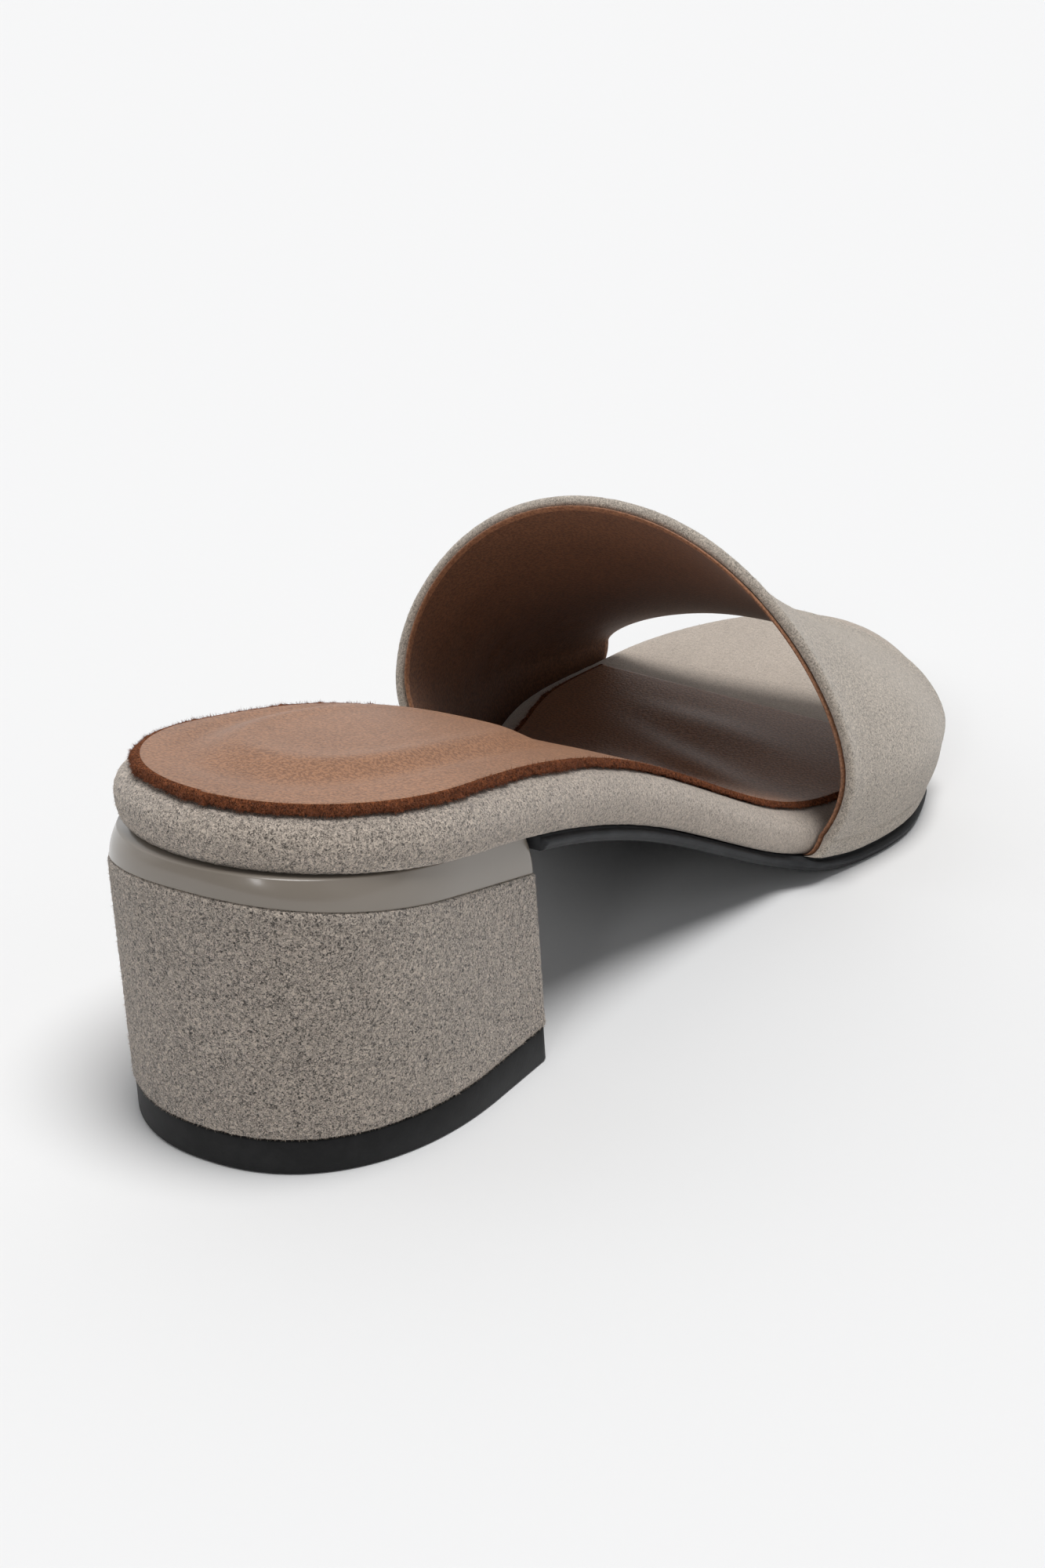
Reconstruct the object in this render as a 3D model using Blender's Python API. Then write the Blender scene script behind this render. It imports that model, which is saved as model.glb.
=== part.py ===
"""Block heel sandal, right shoe: a slip-on mule with one wide band, made of seven solids.

The shoe points along +Y, its outer (lateral) side is +X and the floor is z = 0.
Sizes are in metres. Every table holds shares of the named sizes that its comment gives.
"""
import math

import bmesh
import bpy
import numpy as np

# Sole and footbed
FOOTBED_LENGTH = 0.242
BALL_WIDTH = 0.0875
SEAT_HEIGHT = 0.0628
BOARD_THICKNESS = 0.0101
TOE_SPRING = 0.0015
HEEL_ROUND = 0.0378
TOE_ROUND = 0.0410
END_FULLNESS = 2.06
TOP_ROUNDING = 0.0048
LOWER_ROUNDING = 0.0018
OUTSOLE_THICKNESS = 0.0028
WAIST_INSET = 0.0009
FLANGE_RUN = 0.0090

# Insole, the leather sock that lies on the footbed
INSOLE_THICKNESS = 0.0015
INSOLE_MARGIN = 0.0037
INSOLE_INNER_MARGIN = 0.0065
INSOLE_LENGTH = 0.1875
INSOLE_FRONT_SLANT = 0.0030

# Heel
HEEL_WIDTH = 0.0610
HEEL_LENGTH = 0.0573
RAND_BACK_HEIGHT = 0.0045
RAND_FRONT_HEIGHT = 0.0070
TOP_PIECE_THICKNESS = 0.0064
BREAST_CORNER = 0.0020

# Upper, one wide band over the foot
UPPER_WALL = 0.0026
INSTEP_HEIGHT = 0.0513

CLEARANCE = 0.0003

# Outline and top line of the footbed, a row for each section. along is a share of
# FOOTBED_LENGTH; half and shift, the half width and the sideways shift of its middle,
# are shares of BALL_WIDTH.
OUTLINE_COLUMNS = ("along", "half", "shift")
OUTLINE = (
    (0.00, 0.364, 0.001),
    (0.12, 0.358, 0.003),
    (0.25, 0.340, 0.019),
    (0.38, 0.350, 0.028),
    (0.50, 0.392, 0.025),
    (0.60, 0.443, 0.020),
    (0.70, 0.500, 0.011),
    (0.80, 0.447, -0.013),
    (0.90, 0.385, -0.027),
    (1.00, 0.322, -0.052),
)

# rise is a share of the fall from the heel seat to the tread.
WAIST_COLUMNS = ("along", "rise")
WAIST = (
    (0.00, 1.000),
    (0.12, 0.903),
    (0.25, 0.769),
    (0.38, 0.546),
    (0.50, 0.234),
    (0.60, 0.025),
    (0.66, 0.000),
)

# lift is a share of TOE_SPRING.
TOE_COLUMNS = ("along", "lift")
TOE = (
    (0.745, 0.00),
    (0.860, 0.36),
    (1.000, 1.00),
)

# thick, the thickness of the footbed, is a share of BOARD_THICKNESS.
BOARD_COLUMNS = ("along", "thick")
BOARD = (
    (0.00, 0.885),
    (0.15, 0.930),
    (0.35, 1.000),
    (0.60, 0.871),
)

# Side of the outsole from its top edge down: a groove, a bead and a rounded tread edge.
# The columns are depth and out, the stand of the edge, both shares of OUTSOLE_THICKNESS.
# FLANGE_SHARE is the share of UPPER_WALL that the outsole reaches under.
OUTSOLE_EDGE = (
    (0.00, -0.25),
    (0.14, -0.25),
    (0.24, 0.02),
    (0.46, 0.10),
    (0.68, 0.02),
    (0.84, -0.12),
    (1.00, -0.42),
)
FLANGE_SHARE = 0.75

# Outlines of the heel, a row for each level. width is a share of HEEL_WIDTH; back, front
# and bow, the length of the round back, are shares of HEEL_LENGTH; fullness is an exponent.
HEEL_COLUMNS = ("level", "width", "back", "front", "bow", "fullness")
HEEL = (
    ("floor", 1.000, 0.005, 1.000, 0.713, 2.25),
    ("plane", 0.934, -0.024, 1.000, 0.600, 2.45),
    ("seat", 0.928, -0.010, 0.962, 0.637, 2.30),
)

# Sections of the upper. along is a share of FOOTBED_LENGTH; crown, the inner height over
# the footbed, and belly, the height of the widest place, are shares of INSTEP_HEIGHT;
# outer and inner, the stand of the two sides past the footbed, and lean, the sideways
# shift of the crown, are shares of BALL_WIDTH; arch and side are exponents.
BAND_COLUMNS = ("along", "crown", "belly", "outer", "inner", "lean", "arch", "side")
BAND = (
    (0.46, 1.140, 0.232, 0.062, 0.087, 0.005, 2.00, 1.97),
    (0.56, 0.983, 0.185, 0.048, 0.057, 0.016, 1.81, 2.08),
    (0.66, 0.690, 0.125, 0.035, 0.024, 0.027, 1.65, 2.13),
    (0.76, 0.410, 0.065, 0.026, -0.005, 0.045, 1.54, 2.13),
    (0.86, 0.245, 0.040, 0.018, -0.023, 0.066, 1.44, 2.05),
)

# Edges of the upper. around runs from the outer hem, -HEM, over the arch, 0 to 1, to the
# inner hem, 1 + HEM; back and front are shares of FOOTBED_LENGTH.
HEM = 0.25
RIM_COLUMNS = ("around", "back", "front")
RIM = (
    (-HEM, 0.583, 0.767),
    (0.00, 0.592, 0.790),
    (0.17, 0.579, 0.805),
    (0.33, 0.559, 0.810),
    (0.50, 0.544, 0.806),
    (0.67, 0.532, 0.806),
    (0.83, 0.520, 0.815),
    (1.00, 0.506, 0.819),
    (1 + HEM, 0.505, 0.817),
)
RIM_ROUNDING = 0.35

# How finely the surfaces are divided
SOLE_STATIONS = 52
INSOLE_STATIONS = 42
ARCH_STATIONS = 43
SIDE_STATIONS = 3
BAND_STATIONS = 15
ROUND_STEPS = 3
HEEL_STATIONS = 18
CORNER_STEPS = 3
SHARP_ANGLE = math.radians(40)


def column(table, names, name):
    """One named column of a table."""
    place = names.index(name)
    return np.array([row[place] for row in table], float)


def smooth_curve(places, values, first_slope=None, last_slope=None):
    """Cubic curve through the values; an end with no slope given runs out straight."""
    count = len(places)
    gap = np.diff(places)
    rate = np.diff(values) / gap
    matrix = np.zeros((count, count))
    side = np.zeros(count)
    for i in range(1, count - 1):
        matrix[i, i - 1:i + 2] = gap[i - 1], 2 * (gap[i - 1] + gap[i]), gap[i]
        side[i] = 6 * (rate[i] - rate[i - 1])
    matrix[0, 0] = 1
    matrix[-1, -1] = 1
    if first_slope is not None:
        matrix[0, 0:2] = 2 * gap[0], gap[0]
        side[0] = 6 * (rate[0] - first_slope)
    if last_slope is not None:
        matrix[-1, -2:] = gap[-1], 2 * gap[-1]
        side[-1] = 6 * (last_slope - rate[-1])
    bend = np.linalg.solve(matrix, side)

    def value(place):
        place = np.clip(place, places[0], places[-1])
        i = np.clip(np.searchsorted(places, place) - 1, 0, count - 2)
        before = place - places[i]
        after = places[i + 1] - place
        curved = (bend[i] * after ** 3 + bend[i + 1] * before ** 3) / (6 * gap[i])
        low = (values[i] / gap[i] - bend[i] * gap[i] / 6) * after
        high = (values[i + 1] / gap[i] - bend[i + 1] * gap[i] / 6) * before
        return curved + low + high

    return value


def table_curve(table, names, name, first_slope=None, last_slope=None):
    """Smooth curve of one column over the table's first column."""
    places = column(table, names, names[0])
    return smooth_curve(places, column(table, names, name), first_slope, last_slope)


def ease(share):
    """Soft step from 0 to 1."""
    share = np.clip(share, 0, 1)
    return share * share * (3 - 2 * share)


half_share = table_curve(OUTLINE, OUTLINE_COLUMNS, "half")
shift_share = table_curve(OUTLINE, OUTLINE_COLUMNS, "shift")
rise_share = table_curve(WAIST, WAIST_COLUMNS, "rise", last_slope=0)
toe_share = table_curve(TOE, TOE_COLUMNS, "lift", first_slope=0)
thick_share = table_curve(BOARD, BOARD_COLUMNS, "thick", first_slope=0, last_slope=0)
back_share = table_curve(RIM, RIM_COLUMNS, "back")
front_share = table_curve(RIM, RIM_COLUMNS, "front")


def outline_x(y, side):
    """Edge of the footbed at length y, side 1 for the outer side and -1 for the inner."""
    share = np.clip(y / FOOTBED_LENGTH, 0, 1)
    from_heel = np.clip(y / HEEL_ROUND, 0, 1)
    from_toe = np.clip((FOOTBED_LENGTH - y) / TOE_ROUND, 0, 1)
    power = 1 / END_FULLNESS
    ends = (1 - (1 - from_heel) ** END_FULLNESS) ** power
    ends = ends * (1 - (1 - from_toe) ** END_FULLNESS) ** power
    return BALL_WIDTH * (shift_share(share) + side * half_share(share) * ends)


def board_thickness(y):
    """Thickness of the footbed."""
    return BOARD_THICKNESS * thick_share(y / FOOTBED_LENGTH)


def bed_top(y):
    """Height of the footbed's top."""
    share = y / FOOTBED_LENGTH
    tread = OUTSOLE_THICKNESS + CLEARANCE + board_thickness(FOOTBED_LENGTH)
    return tread + rise_share(share) * (SEAT_HEIGHT - tread) + toe_share(share) * TOE_SPRING


def bed_bottom(y):
    """Height of the footbed's underside."""
    return bed_top(y) - board_thickness(y)


def sole_edge(stations, side, out):
    """Points of the footbed's outline on one side, moved outwards by out."""
    step = FOOTBED_LENGTH * 1e-4
    slope = (outline_x(stations + step, side) - outline_x(stations - step, side)) / (2 * step)
    run = side * out / np.hypot(1, slope)
    return outline_x(stations, side) + run, stations - run * slope


def sole_ring(right, left, out_right, out_left, height, both_tips=False):
    """Ring from the tip at the sides' first station along the right side and back."""
    right_x, right_y = sole_edge(right, 1, out_right)
    left_x, left_y = sole_edge(left, -1, out_left)
    right_x[0] = (right_x[0] + left_x[0]) / 2
    right_y[0] = (right_y[0] + left_y[0]) / 2
    last = len(left)
    if both_tips:
        right_x[-1] = (right_x[-1] + left_x[-1]) / 2
        last = last - 1
    x = np.concatenate([right_x, left_x[1:last][::-1]])
    y = np.concatenate([right_y, left_y[1:last][::-1]])
    return np.stack([x, y, height(y)], 1)


def ladder(count):
    """Faces across a ring whose point 0 is shared by its two sides."""
    faces = []
    right, left = 0, count
    while left - right > 1:
        face = [right, right + 1, left - 1, left % count]
        faces.append(list(dict.fromkeys(face)))
        right, left = right + 1, left - 1
    return faces


def loft(name, rings, caps, material):
    """Closed solid through the rings, closed at both ends by the cap faces."""
    heel_middle = heel_centre()
    count = len(rings[0])
    points = np.concatenate(rings)
    mesh = bpy.data.meshes.new(name)
    form = bmesh.new()
    verts = [form.verts.new((x, y - heel_middle, z)) for x, y, z in points]
    for level in range(len(rings) - 1):
        low, high = level * count, (level + 1) * count
        for i in range(count):
            j = (i + 1) % count
            form.faces.new([verts[low + i], verts[low + j], verts[high + j], verts[high + i]])
    top = (len(rings) - 1) * count
    for face in caps:
        form.faces.new([verts[i] for i in face])
        form.faces.new([verts[top + i] for i in reversed(face)])
    bmesh.ops.triangulate(form, faces=form.faces)
    bmesh.ops.recalc_face_normals(form, faces=form.faces)
    form.to_mesh(mesh)
    form.free()
    mesh.shade_smooth()
    mesh.set_sharp_from_angle(angle=SHARP_ANGLE)
    mesh.materials.append(material)
    piece = bpy.data.objects.new(name, mesh)
    bpy.context.scene.collection.objects.link(piece)
    return piece


def make_material(name, color, roughness, metallic=0.0):
    """Principled material with a plain colour."""
    material = bpy.data.materials.new(name)
    material.use_nodes = True
    shader = material.node_tree.nodes["Principled BSDF"]
    shader.inputs["Base Color"].default_value = (*color, 1)
    shader.inputs["Roughness"].default_value = roughness
    shader.inputs["Metallic"].default_value = metallic
    return material


def spread(first, last, count):
    """Stations from first to last, closer together near first."""
    turn = np.linspace(0, math.pi / 2, count)
    return first + (last - first) * (1 - np.cos(turn))


def whole_length(count):
    """Stations over the whole footbed, closer together near both ends."""
    turn = np.linspace(0, math.pi, count)
    return FOOTBED_LENGTH * (1 - np.cos(turn)) / 2


def make_footbed(material):
    """Suede-wrapped board: rounded top edge, smaller rounding below."""
    stations = whole_length(SOLE_STATIONS)
    turn = np.linspace(0, math.pi / 2, ROUND_STEPS + 1)
    upper = [(TOP_ROUNDING * (1 - math.sin(t)), 0.5 * (1 - math.cos(t))) for t in turn]
    lower = [(LOWER_ROUNDING * (1 - math.cos(t)), 0.5 + 0.5 * math.sin(t)) for t in turn[1:]]
    rings = []
    for inset, depth in upper + lower:
        def height(y, depth=depth):
            return bed_top(y) - depth * board_thickness(y)
        rings.append(sole_ring(stations, stations, -inset, -inset, height, both_tips=True))
    return loft("footbed", rings, ladder(len(rings[0])), material)


def insole_margin(stations, side):
    """Strip of footbed left bare beside the insole, wider on the inner side at the ball."""
    if side > 0:
        return np.full(len(stations), INSOLE_MARGIN)
    share = ease((stations - HEEL_LENGTH) / (INSOLE_LENGTH / 2 - HEEL_LENGTH))
    return INSOLE_MARGIN + (INSOLE_INNER_MARGIN - INSOLE_MARGIN) * share


def make_insole(material):
    """Leather sock with a raw edge, cut straight across under the toes."""
    right = spread(0, INSOLE_LENGTH - INSOLE_FRONT_SLANT, INSOLE_STATIONS)
    left = spread(0, INSOLE_LENGTH + INSOLE_FRONT_SLANT, INSOLE_STATIONS)
    rings = []
    for share in (1.0, 0.0):
        def height(y, share=share):
            return bed_top(y) + CLEARANCE + share * INSOLE_THICKNESS
        rings.append(sole_ring(right, left, -insole_margin(right, 1),
                               -insole_margin(left, -1), height))
    return loft("insole", rings, ladder(len(rings[0])), material)


def flange(stations, side):
    """Stand of the outsole past the footbed, out under the band's wall where the band is."""
    hem = -HEM if side > 0 else 1 + HEM
    back, front = back_share(hem) * FOOTBED_LENGTH, front_share(hem) * FOOTBED_LENGTH
    grow = ease((stations - back) / FLANGE_RUN + 1)
    shrink = ease((front - stations) / FLANGE_RUN + 1)
    under_band = FLANGE_SHARE * UPPER_WALL
    return -WAIST_INSET + (under_band + WAIST_INSET) * grow * shrink


def outsole_start():
    """Length at which the outsole butts against the flared breast of the rand."""
    share = OUTSOLE_THICKNESS / RAND_FRONT_HEIGHT
    seat, plane = heel_value("seat", "front"), heel_value("plane", "front")
    return (seat + (plane - seat) * share) * HEEL_LENGTH + 2 * CLEARANCE


def make_outsole(material):
    """Thin rubber sole from the heel breast to the toe, with a beaded side."""
    stations = spread(FOOTBED_LENGTH, outsole_start(), SOLE_STATIONS)
    rings = []
    for depth, out in OUTSOLE_EDGE:
        def height(y, depth=depth):
            return bed_bottom(y) - CLEARANCE - depth * OUTSOLE_THICKNESS
        stand = out * OUTSOLE_THICKNESS
        rings.append(sole_ring(stations, stations, flange(stations, 1) + stand,
                               flange(stations, -1) + stand, height))
    return loft("outsole", rings, ladder(len(rings[0])), material)


def heel_value(level, name):
    """One value of the heel's table."""
    row = [row for row in HEEL if row[0] == level][0]
    return row[HEEL_COLUMNS.index(name)]


def heel_centre():
    """Length from the back of the footbed to the middle of the heel on the floor."""
    return HEEL_LENGTH * (heel_value("floor", "back") + heel_value("floor", "front")) / 2


def heel_side(level):
    """Right half of a heel outline from the breast to the back, as x and y."""
    half = heel_value(level, "width") * HEEL_WIDTH / 2
    back, front, bow = [heel_value(level, n) * HEEL_LENGTH for n in ("back", "front", "bow")]
    fullness = heel_value(level, "fullness")
    corner = np.linspace(math.pi / 2, 0, CORNER_STEPS + 1)
    x = [half - BREAST_CORNER * (1 - math.cos(t)) for t in corner]
    y = [front - BREAST_CORNER * (1 - math.sin(t)) for t in corner]
    for t in np.linspace(math.pi / 2, 0, HEEL_STATIONS):
        reach = bow * (1 - math.cos(t))
        x.append(half * (1 - (1 - reach / bow) ** fullness) ** (1 / fullness))
        y.append(back + reach)
    return np.array(x), np.array(y)


def heel_ring(level, height):
    """Closed ring of a heel outline; its last right point is the middle of the back."""
    x, y = heel_side(level)
    x = np.concatenate([x, -x[:-1][::-1]])
    y = np.concatenate([y, y[:-1][::-1]])
    return np.roll(np.stack([x, y, height(x, y)], 1), -(len(y) // 2), axis=0)


def heel_plane(y):
    """Tilted plane between the heel and its rand."""
    back = bed_bottom(0) - CLEARANCE - RAND_BACK_HEIGHT
    front = bed_bottom(HEEL_LENGTH) - CLEARANCE - RAND_FRONT_HEIGHT
    return back + (front - back) * y / HEEL_LENGTH


def between(low, high, share):
    """Ring a share of the way from one ring to another."""
    return low + (high - low) * share[:, None]


def make_heel(suede, rubber, moulding):
    """Top piece, covered block and moulded rand, stacked under the footbed."""
    floor = heel_ring("floor", lambda x, y: 0 * y)
    top = heel_ring("plane", lambda x, y: heel_plane(y))
    caps = ladder(len(floor))
    lift = TOP_PIECE_THICKNESS / top[:, 2]
    joint = (TOP_PIECE_THICKNESS + CLEARANCE) / top[:, 2]
    below_rand = 1 - CLEARANCE / top[:, 2]
    loft("heel_top_piece", [floor, between(floor, top, lift)], caps, rubber)
    block = [between(floor, top, joint), between(floor, top, (joint + below_rand) / 2),
             between(floor, top, below_rand)]
    loft("heel", block, caps, suede)
    rand_top = heel_ring("seat", lambda x, y: bed_bottom(y) - CLEARANCE)
    middle = between(top, rand_top, np.full(len(top), 0.5))
    loft("heel_rand", [top, middle, rand_top], caps, moulding)


def band_face(around, y):
    """Inner face of the upper, 0.3 mm off the footbed's side below and free above it."""
    share = y / FOOTBED_LENGTH
    values = {name: table_curve(BAND, BAND_COLUMNS, name)(share) for name in BAND_COLUMNS[1:]}
    board, bed = board_thickness(y), bed_top(y)
    outer, inner = values["outer"] * BALL_WIDTH, values["inner"] * BALL_WIDTH
    outer_edge = outline_x(y, 1) + CLEARANCE
    inner_edge = outline_x(y, -1) - CLEARANCE
    belly = bed + values["belly"] * INSTEP_HEIGHT
    crown = bed + values["crown"] * INSTEP_HEIGHT
    turn = np.clip(around, 0, 1) * math.pi
    across, up = np.cos(turn), np.sin(turn)
    middle = (outer_edge + outer + inner_edge - inner) / 2
    half = (outer_edge + outer - inner_edge + inner) / 2
    arch_x = middle + half * np.sign(across) * np.abs(across) ** (2 / values["side"])
    arch_x = arch_x + values["lean"] * BALL_WIDTH * up ** 2
    arch_z = belly + (crown - belly) * up ** (2 / values["arch"])
    down = np.where(around < 0, -around, around - 1) / HEM
    above = np.clip(2 * down, 0, 1)
    below = np.clip(2 * down - 1, 0, 1)
    widest = bed - board / 2
    side_z = belly + (widest - belly) * above - board / 2 * below
    tuck = LOWER_ROUNDING * (1 - np.sqrt(1 - below ** 2))
    outer_x = outer_edge + outer * (1 - above ** 2) - tuck
    inner_x = inner_edge - inner * (1 - above ** 2) + tuck
    x = np.where(around < 0, outer_x, np.where(around > 1, inner_x, arch_x))
    z = np.where((around < 0) | (around > 1), side_z, arch_z)
    return np.stack([x, y, z], -1)


def make_upper(material):
    """Wide band with its wall built outwards from the inner face, hem on the outsole."""
    bent = np.sin(np.linspace(0, math.pi / 2, ROUND_STEPS + 1))[1:]
    free = np.linspace(0, 1, SIDE_STATIONS + 1)[1:]
    sides = HEM / 2 * np.concatenate([free, 1 + bent])
    around = np.concatenate([-sides[::-1], np.linspace(0, 1, ARCH_STATIONS), 1 + sides])
    along = np.linspace(0, 1, BAND_STATIONS)
    back = back_share(around)[:, None] * FOOTBED_LENGTH
    front = front_share(around)[:, None] * FOOTBED_LENGTH
    y = back + (front - back) * along
    face = band_face(np.repeat(around[:, None], BAND_STATIONS, 1), y)
    normal = np.cross(np.gradient(face, axis=1), np.gradient(face, axis=0))
    normal /= np.linalg.norm(normal, axis=2)[..., None]
    skin = face + normal * UPPER_WALL
    skin[..., 2] = np.maximum(skin[..., 2], bed_bottom(skin[..., 1]))
    rings = []
    for inner, outer in zip(face, skin):
        back_run = (inner[0] - inner[1]) / np.linalg.norm(inner[0] - inner[1])
        front_run = (inner[-1] - inner[-2]) / np.linalg.norm(inner[-1] - inner[-2])
        back_rim = (inner[0] + outer[0]) / 2 + back_run * UPPER_WALL * RIM_ROUNDING
        front_rim = (inner[-1] + outer[-1]) / 2 + front_run * UPPER_WALL * RIM_ROUNDING
        rings.append(np.concatenate([[back_rim], inner, [front_rim], outer[::-1]]))
    return loft("upper", rings, ladder(len(rings[0])), material)


def main():
    """Clear the scene and make the seven pieces."""
    for old in list(bpy.data.objects):
        bpy.data.objects.remove(old, do_unlink=True)
    suede = make_material("suede", (0.47, 0.42, 0.37), 0.9)
    leather = make_material("insole_leather", (0.40, 0.20, 0.10), 0.6)
    rubber = make_material("rubber", (0.02, 0.02, 0.022), 0.6)
    moulding = make_material("moulded_rand", (0.26, 0.22, 0.18), 0.3)
    make_upper(suede)
    make_footbed(suede)
    make_insole(leather)
    make_outsole(rubber)
    make_heel(suede, rubber, moulding)


main()
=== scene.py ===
"""Looks of the block heel sandal, a right shoe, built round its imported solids.

The shoe points along +Y, its outer side is +X and the floor is z = 0; lengths are in metres.
The forms follow the same sizes and tables as the solids, divided more finely and finished.
"""
import math

import bmesh
import bpy
import numpy as np
from bpy.props import FloatProperty, FloatVectorProperty, PointerProperty
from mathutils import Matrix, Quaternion, Vector


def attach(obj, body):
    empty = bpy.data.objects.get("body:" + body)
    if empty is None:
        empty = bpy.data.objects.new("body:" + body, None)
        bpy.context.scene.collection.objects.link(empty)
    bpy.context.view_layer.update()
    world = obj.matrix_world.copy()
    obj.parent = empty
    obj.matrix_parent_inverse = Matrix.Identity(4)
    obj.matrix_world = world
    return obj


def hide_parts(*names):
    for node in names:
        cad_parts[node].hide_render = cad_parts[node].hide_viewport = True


bl_info = {
    "name": "Block heel sandal",
    "version": (1, 0, 0),
    "blender": (4, 5, 0),
    "location": "3D View > Sidebar > Sandal",
    "description": "Builds a suede block heel sandal round its solids",
    "category": "Object",
}

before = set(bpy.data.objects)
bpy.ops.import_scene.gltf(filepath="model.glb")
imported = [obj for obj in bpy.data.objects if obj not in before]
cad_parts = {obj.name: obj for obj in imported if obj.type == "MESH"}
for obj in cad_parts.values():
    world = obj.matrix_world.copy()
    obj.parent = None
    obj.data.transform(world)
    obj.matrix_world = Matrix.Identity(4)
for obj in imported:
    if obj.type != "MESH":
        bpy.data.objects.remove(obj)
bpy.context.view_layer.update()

MM = 0.001

# Sole and footbed, as in the solids
FOOTBED_LENGTH = 0.242
BALL_WIDTH = 0.0875
SEAT_HEIGHT = 0.0628
BOARD_THICKNESS = 0.0101
TOE_SPRING = 0.0015
HEEL_ROUND = 0.0378
TOE_ROUND = 0.0410
END_FULLNESS = 2.06
TOP_ROUNDING = 0.0048
LOWER_ROUNDING = 0.0018
OUTSOLE_THICKNESS = 0.0028
WAIST_INSET = 0.0009
FLANGE_RUN = 0.0090
INSOLE_MARGIN = 0.0037
INSOLE_INNER_MARGIN = 0.0065
INSOLE_LENGTH = 0.1875
INSOLE_FRONT_SLANT = 0.0030
HEEL_WIDTH = 0.0610
HEEL_LENGTH = 0.0573
RAND_BACK_HEIGHT = 0.0045
RAND_FRONT_HEIGHT = 0.0070
BREAST_CORNER = 0.0020
INSTEP_HEIGHT = 0.0513
CLEARANCE = 0.0003

# Sections of the footbed: along is a share of FOOTBED_LENGTH, half and shift of BALL_WIDTH.
OUTLINE_COLUMNS = ("along", "half", "shift")
OUTLINE = (
    (0.00, 0.364, 0.001),
    (0.12, 0.358, 0.003),
    (0.25, 0.340, 0.019),
    (0.38, 0.350, 0.028),
    (0.50, 0.392, 0.025),
    (0.60, 0.443, 0.020),
    (0.70, 0.500, 0.011),
    (0.80, 0.447, -0.013),
    (0.90, 0.385, -0.027),
    (1.00, 0.322, -0.052),
)
# rise is a share of the fall from the heel seat to the tread.
WAIST_COLUMNS = ("along", "rise")
WAIST = (
    (0.00, 1.000),
    (0.12, 0.903),
    (0.25, 0.769),
    (0.38, 0.546),
    (0.50, 0.234),
    (0.60, 0.025),
    (0.66, 0.000),
)
# lift is a share of TOE_SPRING.
TOE_COLUMNS = ("along", "lift")
TOE = (
    (0.745, 0.00),
    (0.860, 0.36),
    (1.000, 1.00),
)
# thick is a share of BOARD_THICKNESS.
BOARD_COLUMNS = ("along", "thick")
BOARD = (
    (0.00, 0.885),
    (0.15, 0.930),
    (0.35, 1.000),
    (0.60, 0.871),
)
# Side of the outsole: depth and out, its stand, are shares of OUTSOLE_THICKNESS. The bead
# is rounder here than in the solid.
OUTSOLE_EDGE_COLUMNS = ("depth", "out")
OUTSOLE_EDGE = (
    (0.00, -0.40),
    (0.12, -0.34),
    (0.24, -0.02),
    (0.42, 0.12),
    (0.60, 0.02),
    (0.72, -0.10),
    (0.84, -0.10),
    (1.00, -0.42),
)
FLANGE_SHARE = 0.75
# Heel outlines: width is a share of HEEL_WIDTH; back, front and bow, the length of the
# round back, of HEEL_LENGTH; fullness is an exponent.
HEEL_COLUMNS = ("width", "back", "front", "bow", "fullness")
HEEL = {
    "floor": (1.000, 0.005, 1.000, 0.713, 2.25),
    "plane": (0.934, -0.024, 1.000, 0.600, 2.45),
    "seat": (0.928, -0.010, 0.962, 0.637, 2.30),
}
# Sections of the band: crown and belly are shares of INSTEP_HEIGHT, outer, inner and lean
# of BALL_WIDTH; arch and side are exponents.
BAND_COLUMNS = ("along", "crown", "belly", "outer", "inner", "lean", "arch", "side")
BAND = (
    (0.46, 1.140, 0.232, 0.062, 0.087, 0.005, 2.00, 1.97),
    (0.56, 0.983, 0.185, 0.048, 0.057, 0.016, 1.81, 2.08),
    (0.66, 0.690, 0.125, 0.035, 0.024, 0.027, 1.65, 2.13),
    (0.76, 0.410, 0.065, 0.026, -0.005, 0.045, 1.54, 2.13),
    (0.86, 0.245, 0.040, 0.018, -0.023, 0.066, 1.44, 2.05),
)
# Edges of the band from the outer hem over the arch to the inner hem; back and front are
# shares of FOOTBED_LENGTH.
HEM = 0.25
RIM_COLUMNS = ("around", "back", "front")
RIM = (
    (-HEM, 0.583, 0.767),
    (0.00, 0.592, 0.790),
    (0.17, 0.579, 0.805),
    (0.33, 0.559, 0.810),
    (0.50, 0.544, 0.806),
    (0.67, 0.532, 0.806),
    (0.83, 0.520, 0.815),
    (1.00, 0.506, 0.819),
    (1 + HEM, 0.505, 0.817),
)

# Soft ridges, above 0, and troughs, below 0, pressed into the sock. along and across are
# the middle in mm from the heel's back and from the shoe's middle line; turn is in degrees
# from straight across; long, wide and lift are in mm.
SOCK_FORM_COLUMNS = ("along", "across", "turn", "long", "wide", "lift")
SOCK_FORMS = (
    (152, 10, 28, 34, 4.0, 0.70),
    (144, 12, 22, 30, 3.6, -0.60),
    (162, -2, 30, 36, 4.5, -0.50),
    (135, 16, 12, 24, 3.5, 0.45),
    (170, 6, 18, 30, 4.5, 0.45),
    (126, 2, 4, 30, 5.0, -0.30),
    (178, -8, 8, 26, 4.0, -0.30),
)

# Heel pad under the sock: its back, how far it lies to the inner side, and its fullness
PAD_BACK = 0.0165
PAD_SHIFT = 0.0026
PAD_FULLNESS = 2.5
# Sock's edge from its top skin down: inset in mm, and height as a share of its thickness.
SOCK_EDGE = (
    (1.60, None),
    (0.90, None),
    (0.45, 0.97),
    (0.10, 0.88),
    (-0.15, 0.74),
    (-0.32, 0.58),
    (-0.42, 0.42),
    (-0.42, 0.26),
    (-0.25, 0.10),
    (0.50, 0.00),
)
SOCK_SKIVE = 0.33
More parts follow.
